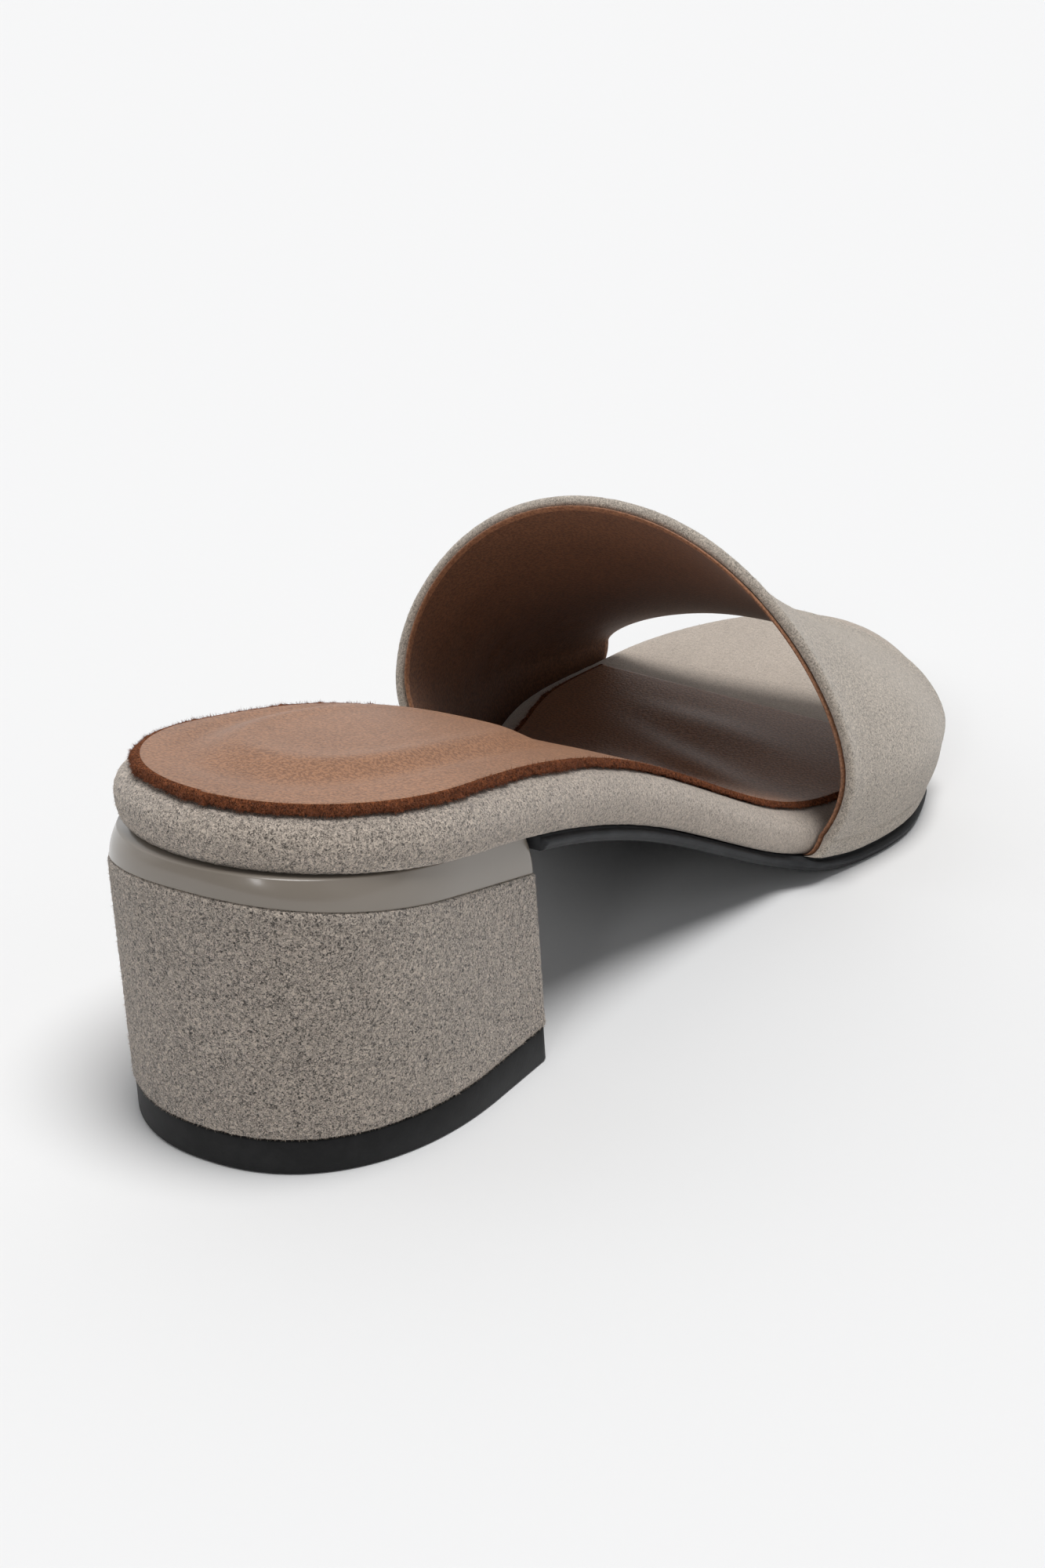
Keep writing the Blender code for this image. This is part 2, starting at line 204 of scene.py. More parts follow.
# Band's edges: how far the rim's swelling runs, and how far suede and lining turn past it
RIM_RUN = 0.06
RIM_SWELL_RUN = 0.0028
SUEDE_TURN = 0.0010
LINING_TURN = 0.0013
# Heel: gap at its seams, and how high and how deep the cover's edge is turned in
HEEL_SEAM = 0.00005
COVER_TURN_HEIGHT = 0.0012
COVER_TURN_DEPTH = 0.0008
RAND_BULGE = 0.0003
# Side of the top piece: share of its height, and how far it stands out
TOP_PIECE_EDGE = (
    (0.00, -0.0005),
    (0.02, -0.0002),
    (0.06, 0.0),
    (0.50, 0.0),
    (0.95, 0.0),
    (1.00, -0.0002),
)

# Suedes: width of a tuft and depth of its relief in mm, contrast of the tufts' tone with their
# painted shade and highlight, and what is left at the toe
SUEDES = {
    "footbed_buffed_suede": (0.42, 0.40, 0.80, 0.3),
    "band_buffed_suede": (0.36, 0.24, 0.50, 1.0),
    "heel_buffed_suede": (0.44, 0.50, 0.88, 1.0),
}
# Loose fibres: how many, their lean at random, the way they are brushed, and the seed
FIBRES = {
    "footbed_fuzz": (16000, 1.2, (0, 0, -0.3), 61),
    "sock_raw_edge_fibres": (17000, 1.1, (0, 0, -0.1), 67),
    "band_fuzz": (16000, 1.0, (0, 0, 0), 71),
    "heel_fuzz": (22000, 1.4, (0, 0, -0.2), 73),
}

# How finely the forms are divided
FOOTBED_STATIONS = 760
FOOTBED_ACROSS = 44
OUTSOLE_STATIONS = 320
OUTSOLE_ACROSS = 8
SOCK_STATIONS = 620
SOCK_ACROSS = 60
UNDER_ACROSS = 6
BAND_ROWS = 250
BAND_RUN = 84
LINING_ROWS = 130
LINING_RUN = 44
HEM_ROWS = 12
FOLD_STEPS = 9
HEEL_POINTS = 560
HEEL_LEVELS = 130
RAND_LEVELS = 24
FIBRE_WIDTH = 0.00011

FACTOR, COLOUR_A, COLOUR_B, COLOUR_OUT = 0, 6, 7, 2

# The far studio turns from shade to sky as one looks towards GLOW.
GLOW = (-0.74, 0.64, 0.1)
GLOW_START = 0.15
GLOW_END = 0.85
FLOOR_SIZE = 60
# Camera: azimuth, elevation and roll in degrees, place in metres, lens and sensor in mm
CAMERA_TURN = (31.244, 24.153, -0.855)
CAMERA_PLACE = (0.26604, -0.36750, 0.25794)
CAMERA_LENS = 70.49
CAMERA_SENSOR = 36.0
# Lights: the direction they come from, their strength, and how wide they look in degrees
LIGHTS = (
    ("overhead_box", (0.21, 0.00, 1.0), 2.25, 29),
    ("side_box", (1.0, 0.10, 0.42), 0.16, 50),
    ("left_box", (-1.0, -0.55, 0.60), 0.24, 45),
    ("front_box", (0.22, -0.87, 0.45), 0.18, 8),
)


def column(table, names, name):
    """One named column of a table."""
    place = names.index(name)
    return np.array([row[place] for row in table], float)


def smooth_curve(places, values, first_slope=None, last_slope=None):
    """Cubic curve through the values; an end with no slope given runs out straight."""
    count = len(places)
    gap = np.diff(places)
    rate = np.diff(values) / gap
    matrix = np.zeros((count, count))
    side = np.zeros(count)
    for i in range(1, count - 1):
        matrix[i, i - 1:i + 2] = gap[i - 1], 2 * (gap[i - 1] + gap[i]), gap[i]
        side[i] = 6 * (rate[i] - rate[i - 1])
    matrix[0, 0] = 1
    matrix[-1, -1] = 1
    if first_slope is not None:
        matrix[0, 0:2] = 2 * gap[0], gap[0]
        side[0] = 6 * (rate[0] - first_slope)
    if last_slope is not None:
        matrix[-1, -2:] = gap[-1], 2 * gap[-1]
        side[-1] = 6 * (last_slope - rate[-1])
    bend = np.linalg.solve(matrix, side)

    def value(place):
        place = np.clip(place, places[0], places[-1])
        i = np.clip(np.searchsorted(places, place) - 1, 0, count - 2)
        before = place - places[i]
        after = places[i + 1] - place
        curved = (bend[i] * after ** 3 + bend[i + 1] * before ** 3) / (6 * gap[i])
        low = (values[i] / gap[i] - bend[i] * gap[i] / 6) * after
        high = (values[i + 1] / gap[i] - bend[i + 1] * gap[i] / 6) * before
        return curved + low + high

    return value


def table_curve(table, names, name, first_slope=None, last_slope=None):
    """Smooth curve of one column over the table's first column."""
    places = column(table, names, names[0])
    return smooth_curve(places, column(table, names, name), first_slope, last_slope)


def ease(share):
    """Soft step from 0 to 1."""
    share = np.clip(share, 0, 1)
    return share * share * (3 - 2 * share)


half_share = table_curve(OUTLINE, OUTLINE_COLUMNS, "half")
shift_share = table_curve(OUTLINE, OUTLINE_COLUMNS, "shift")
rise_share = table_curve(WAIST, WAIST_COLUMNS, "rise", last_slope=0)
toe_share = table_curve(TOE, TOE_COLUMNS, "lift", first_slope=0)
thick_share = table_curve(BOARD, BOARD_COLUMNS, "thick", first_slope=0, last_slope=0)
back_share = table_curve(RIM, RIM_COLUMNS, "back")
front_share = table_curve(RIM, RIM_COLUMNS, "front")
bead_share = table_curve(OUTSOLE_EDGE, OUTSOLE_EDGE_COLUMNS, "out")


def outline_x(y, side):
    """Edge of the footbed at length y, side 1 for the outer side and -1 for the inner."""
    share = np.clip(y / FOOTBED_LENGTH, 0, 1)
    from_heel = np.clip(y / HEEL_ROUND, 0, 1)
    from_toe = np.clip((FOOTBED_LENGTH - y) / TOE_ROUND, 0, 1)
    power = 1 / END_FULLNESS
    ends = (1 - (1 - from_heel) ** END_FULLNESS) ** power
    ends = ends * (1 - (1 - from_toe) ** END_FULLNESS) ** power
    return BALL_WIDTH * (shift_share(share) + side * half_share(share) * ends)


def board_thickness(y):
    """Thickness of the footbed."""
    return BOARD_THICKNESS * thick_share(y / FOOTBED_LENGTH)


def bed_top(y):
    """Height of the footbed's top."""
    share = y / FOOTBED_LENGTH
    tread = OUTSOLE_THICKNESS + CLEARANCE + board_thickness(FOOTBED_LENGTH)
    return tread + rise_share(share) * (SEAT_HEIGHT - tread) + toe_share(share) * TOE_SPRING


def bed_bottom(y):
    """Height of the footbed's underside."""
    return bed_top(y) - board_thickness(y)


def sole_edge(stations, side, out):
    """Points of the footbed's outline on one side, moved outwards by out."""
    step = FOOTBED_LENGTH * 1e-4
    slope = (outline_x(stations + step, side) - outline_x(stations - step, side)) / (2 * step)
    run = side * out / np.hypot(1, slope)
    return outline_x(stations, side) + run, stations - run * slope


def heel_value(level, name):
    """One value of the heel's table."""
    return HEEL[level][HEEL_COLUMNS.index(name)]


def heel_centre():
    """Length from the back of the footbed to the middle of the heel on the floor."""
    return HEEL_LENGTH * (heel_value("floor", "back") + heel_value("floor", "front")) / 2


def lattice_noise(points, cell, seed):
    """Smooth value from -1 to 1 at each point, on a lattice of that cell size."""
    place = points / cell
    base = np.floor(place).astype(np.int64)
    part = place - base
    part = part * part * (3 - 2 * part)
    total = np.zeros(len(points))
    for corner in np.ndindex(2, 2, 2):
        node = base + corner
        mix = node[:, 0] * 73856093 ^ node[:, 1] * 19349663 ^ node[:, 2] * 83492791 ^ seed * 7919
        mix = (mix ^ (mix >> 13)) * 1274126177
        value = ((mix >> 7) & 0xFFFF) / 32767.5 - 1
        weight = np.prod(np.where(corner, part, 1 - part), axis=1)
        total += value * weight
    return total


def grain(points, cell, seed):
    """Two octaves of lattice noise."""
    fine = lattice_noise(points, cell * 0.47, seed + 1)
    return 0.68 * lattice_noise(points, cell, seed) + 0.32 * fine


def linear(code):
    """Linear colour of an sRGB hex code."""
    parts = [int(code[i:i + 2], 16) / 255 for i in (1, 3, 5)]
    return [p / 12.92 if p <= 0.04045 else ((p + 0.055) / 1.055) ** 2.4 for p in parts]


def per_mm(width):
    """Texture scale that repeats after that many millimetres."""
    return 1 / (width * MM)


def add_node(tree, kind, inputs=None, stops=None, **settings):
    """Add a node with its settings, its inputs as values or links, and its colour stops."""
    node = tree.nodes.new("ShaderNode" + kind)
    for name, value in settings.items():
        setattr(node, name, value)
    for socket, value in (inputs or {}).items():
        if isinstance(value, bpy.types.NodeSocket):
            tree.links.new(value, node.inputs[socket])
        else:
            node.inputs[socket].default_value = value
    for i, (place, color) in enumerate(stops or ()):
        elements = node.color_ramp.elements
        element = elements[i] if i < 2 else elements.new(place)
        element.position = place
        element.color = (*color, 1)
    return node


def fibre_material(name, color):
    """Single fibres of the hide: pale and dark ones mixed, matt, bright against the light.

    FIBRE_WIDTH is thicker than a real fibre's, so that they show."""
    material, tree, shader, place = blank_material(name)
    tuft = add_node(tree, "TexNoise", {
        "Vector": place, "Scale": per_mm(0.6), "Detail": 2.0, "Roughness": 0.6})
    tone = add_node(tree, "ValToRGB", {"Fac": tuft.outputs["Fac"]},
                    stops=[(0.38, [c * 0.62 for c in color]),
                           (0.60, [min(1, c * 1.6) for c in color])])
    finish_shader(shader, tree, tone.outputs["Color"], tuft.outputs["Fac"], 0.1, 0.02, {
        "Roughness": 0.9, "Specular IOR Level": 0.15, "Sheen Weight": 0.15,
        "Sheen Roughness": 0.5})
    return material


def blank_material(name):
    """Material with an empty shader, and the piece's own coordinates in metres."""
    material = bpy.data.materials.get(name) or bpy.data.materials.new(name)
    material.use_nodes = True
    tree = material.node_tree
    tree.nodes.clear()
    shader = add_node(tree, "BsdfPrincipled")
    add_node(tree, "OutputMaterial", {"Surface": shader.outputs["BSDF"]})
    place = add_node(tree, "TexCoord").outputs["Object"]
    return material, tree, shader, place


def finish_shader(shader, tree, color, relief, strength, depth, constants):
    """Link colour and a relief of that depth in mm, and set constants on the shader itself."""
    bump = add_node(tree, "Bump", {"Height": relief, "Strength": strength,
                                   "Distance": depth * MM})
    tree.links.new(color, shader.inputs["Base Color"])
    tree.links.new(bump.outputs["Normal"], shader.inputs["Normal"])
    for socket, value in constants.items():
        shader.inputs[socket].default_value = value


def buffed_suede(name, color):
    """Split leather buffed to a nap: matt, with a fine fuzz that catches light at its edges.

    Its fibres lie in small tufts, drawn coarser than real ones so that they show, and the hand
    leaves paler strokes. The tufts' dark and pale are partly the fibres' own tone and partly
    painted shade in the pits and painted highlight on the tuft tops."""
    tuft_width, relief, tuft_tone_and_shade_contrast, calm = SUEDES[name]
    material, tree, shader, place = blank_material(name)
    # deep and pale ride on the same noise as the relief: partly the fibres' own tone, partly
    # painted shade in the low pits and painted highlight on the raised tops.
    deep = [c * (1 - tuft_tone_and_shade_contrast) for c in color]
    pale = [min(1, c * (1 + tuft_tone_and_shade_contrast * 0.75) + 0.01) for c in color]
    tuft = add_node(tree, "TexNoise", {
        "Vector": place, "Scale": per_mm(tuft_width), "Detail": 3.0, "Roughness": 0.6,
        "Distortion": 1.4})
    stroke = add_node(tree, "TexNoise", {
        "Vector": place, "Scale": per_mm(16), "Detail": 3.0, "Roughness": 0.55})
    along = add_node(tree, "SeparateXYZ", {"Vector": place})
    left = add_node(tree, "MapRange", {
        "Value": along.outputs["Y"], "From Min": 0.0, "From Max": 0.12, "To Min": 1.0,
        "To Max": calm})
    tone = add_node(tree, "ValToRGB", {"Fac": tuft.outputs["Fac"]},
                    stops=[(0.38, deep), (0.50, color), (0.62, pale)])
    calmed = add_node(tree, "Mix", {
        FACTOR: left.outputs["Result"], COLOUR_A: (*color, 1), COLOUR_B: tone.outputs["Color"]},
        data_type="RGBA")
    shade = add_node(tree, "ValToRGB", {"Fac": stroke.outputs["Fac"]},
                     stops=[(0.30, (0.90, 0.90, 0.90)), (0.72, (1.0, 1.0, 1.0))])
    mixed = add_node(tree, "Mix", {
        FACTOR: 1.0, COLOUR_A: calmed.outputs[COLOUR_OUT], COLOUR_B: shade.outputs["Color"]},
        data_type="RGBA", blend_type="MULTIPLY")
    height = add_node(tree, "Math", {
        0: tuft.outputs["Fac"], 1: left.outputs["Result"]}, operation="MULTIPLY")
    finish_shader(shader, tree, mixed.outputs[COLOUR_OUT], height.outputs["Value"], 1.0, relief, {
        "Roughness": 0.95, "Specular IOR Level": 0.15, "Sheen Weight": 0.35,
        "Sheen Roughness": 0.5})
    return material


def sock_leather(name, color, roughness, worn):
    """Drum dyed calf with a light finish: satin, with fine pores and cloudy colour.

    Its pores and specks are drawn coarser than real ones so that they show."""
    material, tree, shader, place = blank_material(name)
    pores = add_node(tree, "TexVoronoi", {
        "Vector": place, "Scale": per_mm(0.55), "Randomness": 1.0}, feature="SMOOTH_F1")
    speck = add_node(tree, "TexNoise", {
        "Vector": place, "Scale": per_mm(0.5), "Detail": 2.0, "Roughness": 0.6})
    cloud = add_node(tree, "TexNoise", {
        "Vector": place, "Scale": per_mm(24), "Detail": 3.0, "Roughness": 0.5})
    deep = [c * (1 - worn) for c in color]
    pale = [min(1, c * (1 + worn * 0.6)) for c in color]
    tone = add_node(tree, "ValToRGB", {"Fac": cloud.outputs["Fac"]},
                    stops=[(0.30, deep), (0.52, color), (0.72, pale)])
    dots = add_node(tree, "ValToRGB", {"Fac": speck.outputs["Fac"]},
                    stops=[(0.42, (0.74, 0.70, 0.67)), (0.50, (1.0, 1.0, 1.0)),
                           (0.58, (1.26, 1.26, 1.26))])
    mixed = add_node(tree, "Mix", {
        FACTOR: 1.0, COLOUR_A: tone.outputs["Color"], COLOUR_B: dots.outputs["Color"]},
        data_type="RGBA", blend_type="MULTIPLY")
    rise = add_node(tree, "Math", {0: pores.outputs["Distance"],
                                             1: speck.outputs["Fac"]}, operation="ADD")
    finish_shader(shader, tree, mixed.outputs[COLOUR_OUT], rise.outputs["Value"], 0.8, 0.09, {
        "Roughness": roughness, "Specular IOR Level": 0.45, "Sheen Weight": 0.08,
        "Sheen Roughness": 0.5})
    return material


def raw_cut_leather(name, color):
    """Cut edge of the sock's leather and its fibre backing: loose reddish fibres, no finish."""
    material, tree, shader, place = blank_material(name)
    stretched = add_node(tree, "Mapping", {"Vector": place, "Scale": (1, 1, 0.55)})
    fibres = add_node(tree, "TexNoise", {
        "Vector": stretched.outputs["Vector"], "Scale": per_mm(0.4), "Detail": 3.0,
        "Roughness": 0.65, "Distortion": 1.2})
    deep = [c * 0.30 for c in color]
    pale = [min(1, c * 1.9) for c in color]
    tone = add_node(tree, "ValToRGB", {"Fac": fibres.outputs["Fac"]},
                    stops=[(0.40, deep), (0.50, color), (0.60, pale)])
    finish_shader(shader, tree, tone.outputs["Color"], fibres.outputs["Fac"], 1.0, 0.5, {
        "Roughness": 0.95, "Specular IOR Level": 0.1})
    return material


def moulded_gloss(name, color):
    """Injection moulded and lacquered rand: even colour, soft mirror of the studio."""
    material, tree, shader, place = blank_material(name)
    ripple = add_node(tree, "TexNoise", {
        "Vector": place, "Scale": per_mm(9), "Detail": 2.0, "Roughness": 0.4})
    tone = add_node(tree, "ValToRGB", {"Fac": ripple.outputs["Fac"]},
                    stops=[(0.3, [c * 0.97 for c in color]), (0.7, color)])
    finish_shader(shader, tree, tone.outputs["Color"], ripple.outputs["Fac"], 0.3, 0.05, {
        "Roughness": 0.32, "Coat Weight": 0.6, "Coat Roughness": 0.16, "Coat IOR": 1.5})
    return material


def moulded_rubber(name, color, roughness):
    """Moulded rubber with a fine matt skin and a few dusty marks."""
    material, tree, shader, place = blank_material(name)
    skin = add_node(tree, "TexNoise", {
        "Vector": place, "Scale": per_mm(0.5), "Detail": 3.0, "Roughness": 0.6})
    dust = add_node(tree, "TexNoise", {
        "Vector": place, "Scale": per_mm(5), "Detail": 5.0, "Roughness": 0.7})
    pale = [min(1, c * 1.5 + 0.006) for c in color]
    tone = add_node(tree, "ValToRGB", {"Fac": dust.outputs["Fac"]},
                    stops=[(0.45, color), (0.80, pale)])
    finish_shader(shader, tree, tone.outputs["Color"], skin.outputs["Fac"], 0.5, 0.04, {
        "Roughness": roughness, "Specular IOR Level": 0.25})
    return material


def studio_paper(name, color):
    """Seamless paper sweep, quite matt."""
    material, tree, shader, place = blank_material(name)
    pulp = add_node(tree, "TexNoise", {
        "Vector": place, "Scale": per_mm(2), "Detail": 2.0})
    tone = add_node(tree, "ValToRGB", {"Fac": pulp.outputs["Fac"]},
                    stops=[(0.3, [c * 0.998 for c in color]), (0.7, color)])
    finish_shader(shader, tree, tone.outputs["Color"], pulp.outputs["Fac"], 0.05, 0.02, {
        "Roughness": 1.0, "Specular IOR Level": 0.0})
    return material


def make_mesh(name, grid, materials, face_slots=None, caps=()):
    """Closed skin through a grid of rows by columns; the columns close, ends listed are capped."""
    rows, columns = grid.shape[:2]
    i, j = np.meshgrid(np.arange(rows - 1), np.arange(columns), indexing="ij")
    k = (j + 1) % columns
    low, high = i * columns, (i + 1) * columns
    faces = np.stack([low + j, low + k, high + k, high + j], -1).reshape(-1, 4).tolist()
    ends = {"first": list(range(columns)),
            "last": list(range((rows - 1) * columns, rows * columns))}
    faces += [ends[end] for end in caps]
    points = grid.reshape(-1, 3) - (0, heel_centre(), 0)
    mesh = bpy.data.meshes.new(name)
    mesh.from_pydata(points.tolist(), [], faces)
    slots = np.zeros(len(faces), np.int32)
    if face_slots is not None:
        slots[:(rows - 1) * columns] = np.tile(face_slots, rows - 1)
    mesh.polygons.foreach_set("material_index", slots)
    form = bmesh.new()
    form.from_mesh(mesh)
    bmesh.ops.remove_doubles(form, verts=form.verts, dist=1e-6)
    bmesh.ops.dissolve_degenerate(form, edges=form.edges, dist=1e-7)
    bmesh.ops.triangulate(form, faces=[f for f in form.faces if len(f.verts) > 4])
    bmesh.ops.recalc_face_normals(form, faces=form.faces)
    form.to_mesh(mesh)
    form.free()
    mesh.shade_smooth()
    for material in materials:
        mesh.materials.append(material)
    piece = bpy.data.objects.new(name, mesh)
    bpy.context.scene.collection.objects.link(piece)
    return piece


def corners_of(piece):
    """Corners of a piece's mesh and their normals."""
    mesh = piece.data
    points = np.zeros(len(mesh.vertices) * 3)
    normals = np.zeros(len(mesh.vertices) * 3)
    mesh.vertices.foreach_get("co", points)
    mesh.vertices.foreach_get("normal", normals)
    return points.reshape(-1, 3), normals.reshape(-1, 3)


def push_out(piece, distance):
    """Move every corner along its normal by its distance."""
    points, normals = corners_of(piece)
    moved = points + normals * distance[:, None]
    piece.data.vertices.foreach_set("co", moved.ravel())
    piece.data.update()


def grow_fibres(name, piece, weight, length, material, slot):
    """Loose fibres as slim three-sided spikes, on faces of a piece drawn by their weight.

    weight tells each face's share from its middle and its normal."""
    count, spread, lay, seed = FIBRES[name]
    mesh = piece.data
    total = len(mesh.polygons)
    middle, normal, area = np.zeros(total * 3), np.zeros(total * 3), np.zeros(total)
    mesh.polygons.foreach_get("center", middle)
    mesh.polygons.foreach_get("normal", normal)
    mesh.polygons.foreach_get("area", area)
    middle, normal = middle.reshape(-1, 3), normal.reshape(-1, 3)
    chance = area * weight(middle, normal)
    draw = np.random.default_rng(seed)
    faces = draw.choice(total, count, p=chance / chance.sum())
    n = normal[faces]
    side = np.cross(n, draw.normal(size=(count, 3)))
    side /= np.linalg.norm(side, axis=1)[:, None]
    other = np.cross(n, side)
    reach = np.sqrt(area[faces])[:, None]
    root = middle[faces] + (draw.uniform(-0.5, 0.5, (count, 1)) * side
                            + draw.uniform(-0.5, 0.5, (count, 1)) * other) * reach
    root = root - n * FIBRE_WIDTH
    lean = n + side * draw.normal(0, spread, (count, 1))
    lean = lean + other * draw.normal(0, spread, (count, 1)) + np.array(lay)
    lean /= np.linalg.norm(lean, axis=1)[:, None]
    tip = root + lean * length * draw.uniform(0.45, 1.0, (count, 1))
    turns = np.arange(3) * 2 * math.pi / 3
    foot = [root + FIBRE_WIDTH / 2 * (side * math.cos(t) + other * math.sin(t)) for t in turns]
    points = np.stack(foot + [tip], axis=1).reshape(-1, 3)
    shape = np.array([(0, 1, 3), (1, 2, 3), (2, 0, 3), (2, 1, 0)])
    spikes = (np.arange(count)[:, None, None] * 4 + shape).reshape(-1, 3)
    fibres = bpy.data.meshes.new(name)
    fibres.from_pydata(points.tolist(), [], spikes.tolist())
    fibres.materials.append(material)
    grown = bpy.data.objects.new(name, fibres)
    bpy.context.scene.collection.objects.link(grown)
    settle(grown, slot)


def settle(piece, slot, *nodes):
    """Ride on the shoe and stand for the solids; the slot it is given is not used."""
    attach(piece, "root")
    if nodes:
        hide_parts(*nodes)


def span(start, end, count, height):
    """Points across from one edge to the other at every station, on that surface."""
    middle = []
    for share in np.linspace(0, 1, count + 2)[1:-1]:
        x, y = (start + (end - start) * share)[:, :2].T
        middle.append(np.stack([x, y, height(x, y)], -1))
    return middle


def sole_loops(right, left, profile, across, tips, below=UNDER_ACROSS):
    """Closed loops round a layer of the sole: down its right side, under, up its left, over.

    profile lists the stand of the right side, that of the left and a height, top first."""
    down, up = [], []
    for out_right, out_left, height in profile:
        right_x, right_y = sole_edge(right, 1, out_right)
        left_x, left_y = sole_edge(left, -1, out_left)
        for tip in tips:
            right_x[tip] = left_x[tip] = (right_x[tip] + left_x[tip]) / 2
            right_y[tip] = left_y[tip] = (right_y[tip] + left_y[tip]) / 2
        down.append(np.stack([right_x, right_y, height(right_x, right_y)], -1))
        up.append(np.stack([left_x, left_y, height(left_x, left_y)], -1))
    up.reverse()
    under = span(down[-1], up[0], below, profile[-1][2])
    over = span(up[-1], down[0], across, profile[0][2])
    return np.stack(down + under + up + over, axis=1)


def footbed_loops():
    """Rounded top edge, straight side and smaller rounding below, as in the solid."""
    turn = np.linspace(0, math.pi / 2, 18)
    lower = np.linspace(0, math.pi / 2, 8)[1:]
    shape = [(TOP_ROUNDING * (1 - math.sin(t)), 0.5 * (1 - math.cos(t))) for t in turn]
    shape += [(LOWER_ROUNDING * (1 - math.cos(t)), 0.5 + 0.5 * math.sin(t)) for t in lower]
    profile = []
    for inset, depth in shape:
        def height(x, y, depth=depth):
            return bed_top(y) - depth * board_thickness(y)
        profile.append((-inset, -inset, height))
    spots = np.linspace(0, math.pi, FOOTBED_STATIONS)
    stations = FOOTBED_LENGTH * (1 - np.cos(spots)) / 2
    return sole_loops(stations, stations, profile, FOOTBED_ACROSS, (0, -1))


def insole_margin(stations, side):
    """Strip of footbed left bare beside the sock, wider on the inner side at the ball."""
    if side > 0:
        return np.full(len(stations), INSOLE_MARGIN)
    share = ease((stations - HEEL_LENGTH) / (INSOLE_LENGTH / 2 - HEEL_LENGTH))
    return INSOLE_MARGIN + (INSOLE_INNER_MARGIN - INSOLE_MARGIN) * share


def sock_lift(x, y, pad_height, pad_length, pad_width):
    """Height of the sock's soft forms: heel pad, the groove round it, and pressed folds."""
    off_y = (y - PAD_BACK - pad_length / 2) / (pad_length / 2)
    off_x = (x - BALL_WIDTH * shift_share(y / FOOTBED_LENGTH) + PAD_SHIFT) / (pad_width / 2)
    reach = (np.abs(off_y) ** PAD_FULLNESS + np.abs(off_x) ** PAD_FULLNESS) ** (1 / PAD_FULLNESS)
    lift = ease((1.0 - reach) / 0.26) + 0.22 * np.exp(-((reach - 0.74) / 0.12) ** 2)
    lift = pad_height * (lift - 0.32 * np.exp(-((reach - 1.05) / 0.09) ** 2))
    for row in SOCK_FORMS:
        values = dict(zip(SOCK_FORM_COLUMNS, row))
        angle = math.radians(values["turn"])
        off_x, off_y = x / MM - values["across"], y / MM - values["along"]
        run = off_x * math.cos(angle) - off_y * math.sin(angle)
        off = off_x * math.sin(angle) + off_y * math.cos(angle)
        fade = np.exp(-(2 * run / values["long"]) ** 2) * np.exp(-(off / values["wide"]) ** 2)
        lift = lift + values["lift"] * MM * fade
    return lift


def sock_thickness(y, thickness):
    """Thickness of the sock with its backing, which is skived thinner from the waist on."""
    return thickness * (1 - SOCK_SKIVE * ease((y - HEEL_LENGTH) / (INSOLE_LENGTH / 3)))


def cut_raggedness(y):
    """How ragged the sock's cut edge is: wholly at the heel, and hardly at its front."""
    return 1 - 0.5 * ease((y - 0.07) / 0.05) - 0.5 * ease((y - INSOLE_LENGTH + 0.014) / 0.008)


def sock_loops(thickness, pad_height, pad_length, pad_width):
    """Sock with its heel pad; its raw edge stands a little outwards at the foot."""
    def spread(last):
        turn = np.linspace(0, math.pi / 2, SOCK_STATIONS)
        return last * (1 - np.cos(turn))

    def top(x, y):
        low = bed_top(y) + CLEARANCE + sock_thickness(y, thickness)
        return low + sock_lift(x, y, pad_height, pad_length, pad_width)

    def side_height(share):
        def height(x, y):
            return bed_top(y) + CLEARANCE + share * sock_thickness(y, thickness)
        return height

    right = spread(INSOLE_LENGTH - INSOLE_FRONT_SLANT)
    left = spread(INSOLE_LENGTH + INSOLE_FRONT_SLANT)
    profile = []
    for inset, share in SOCK_EDGE:
        height = top if share is None else side_height(share)
        profile.append((-insole_margin(right, 1) - inset * MM,
                        -insole_margin(left, -1) - inset * MM, height))
    return sole_loops(right, left, profile, SOCK_ACROSS, (0,)), len(SOCK_EDGE)


def outsole_start():
    """Length at which the outsole butts against the flared breast of the rand."""
    share = OUTSOLE_THICKNESS / RAND_FRONT_HEIGHT
    seat, plane = heel_value("seat", "front"), heel_value("plane", "front")
    return (seat + (plane - seat) * share) * HEEL_LENGTH + 2 * CLEARANCE


def flange(stations, side, wall):
    """Stand of the outsole past the footbed, out under the band's wall where the band is."""
    hem = -HEM if side > 0 else 1 + HEM
    back, front = back_share(hem) * FOOTBED_LENGTH, front_share(hem) * FOOTBED_LENGTH
    grow = ease((stations - back) / FLANGE_RUN + 1)
    shrink = ease((front - stations) / FLANGE_RUN + 1)
    return -WAIST_INSET + (FLANGE_SHARE * wall + WAIST_INSET) * grow * shrink


def outsole_loops(wall):
    """Thin sole with a groove under the suede, a bead and a rounded tread edge."""
    turn = np.linspace(0, math.pi / 2, OUTSOLE_STATIONS)
    stations = FOOTBED_LENGTH + (outsole_start() - FOOTBED_LENGTH) * (1 - np.cos(turn))
    profile = []
    for depth in np.linspace(0, 1, 15):
        def height(x, y, depth=depth):
            return bed_bottom(y) - CLEARANCE - depth * OUTSOLE_THICKNESS
        stand = bead_share(depth) * OUTSOLE_THICKNESS
        profile.append((flange(stations, 1, wall) + stand, flange(stations, -1, wall) + stand,
                        height))
    return sole_loops(stations, stations, profile, OUTSOLE_ACROSS, (0,), OUTSOLE_ACROSS)


def heel_plane(y):
    """Tilted plane between the heel and its rand."""
    back = bed_bottom(0) - CLEARANCE - RAND_BACK_HEIGHT
    front = bed_bottom(HEEL_LENGTH) - CLEARANCE - RAND_FRONT_HEIGHT
    return back + (front - back) * y / HEEL_LENGTH


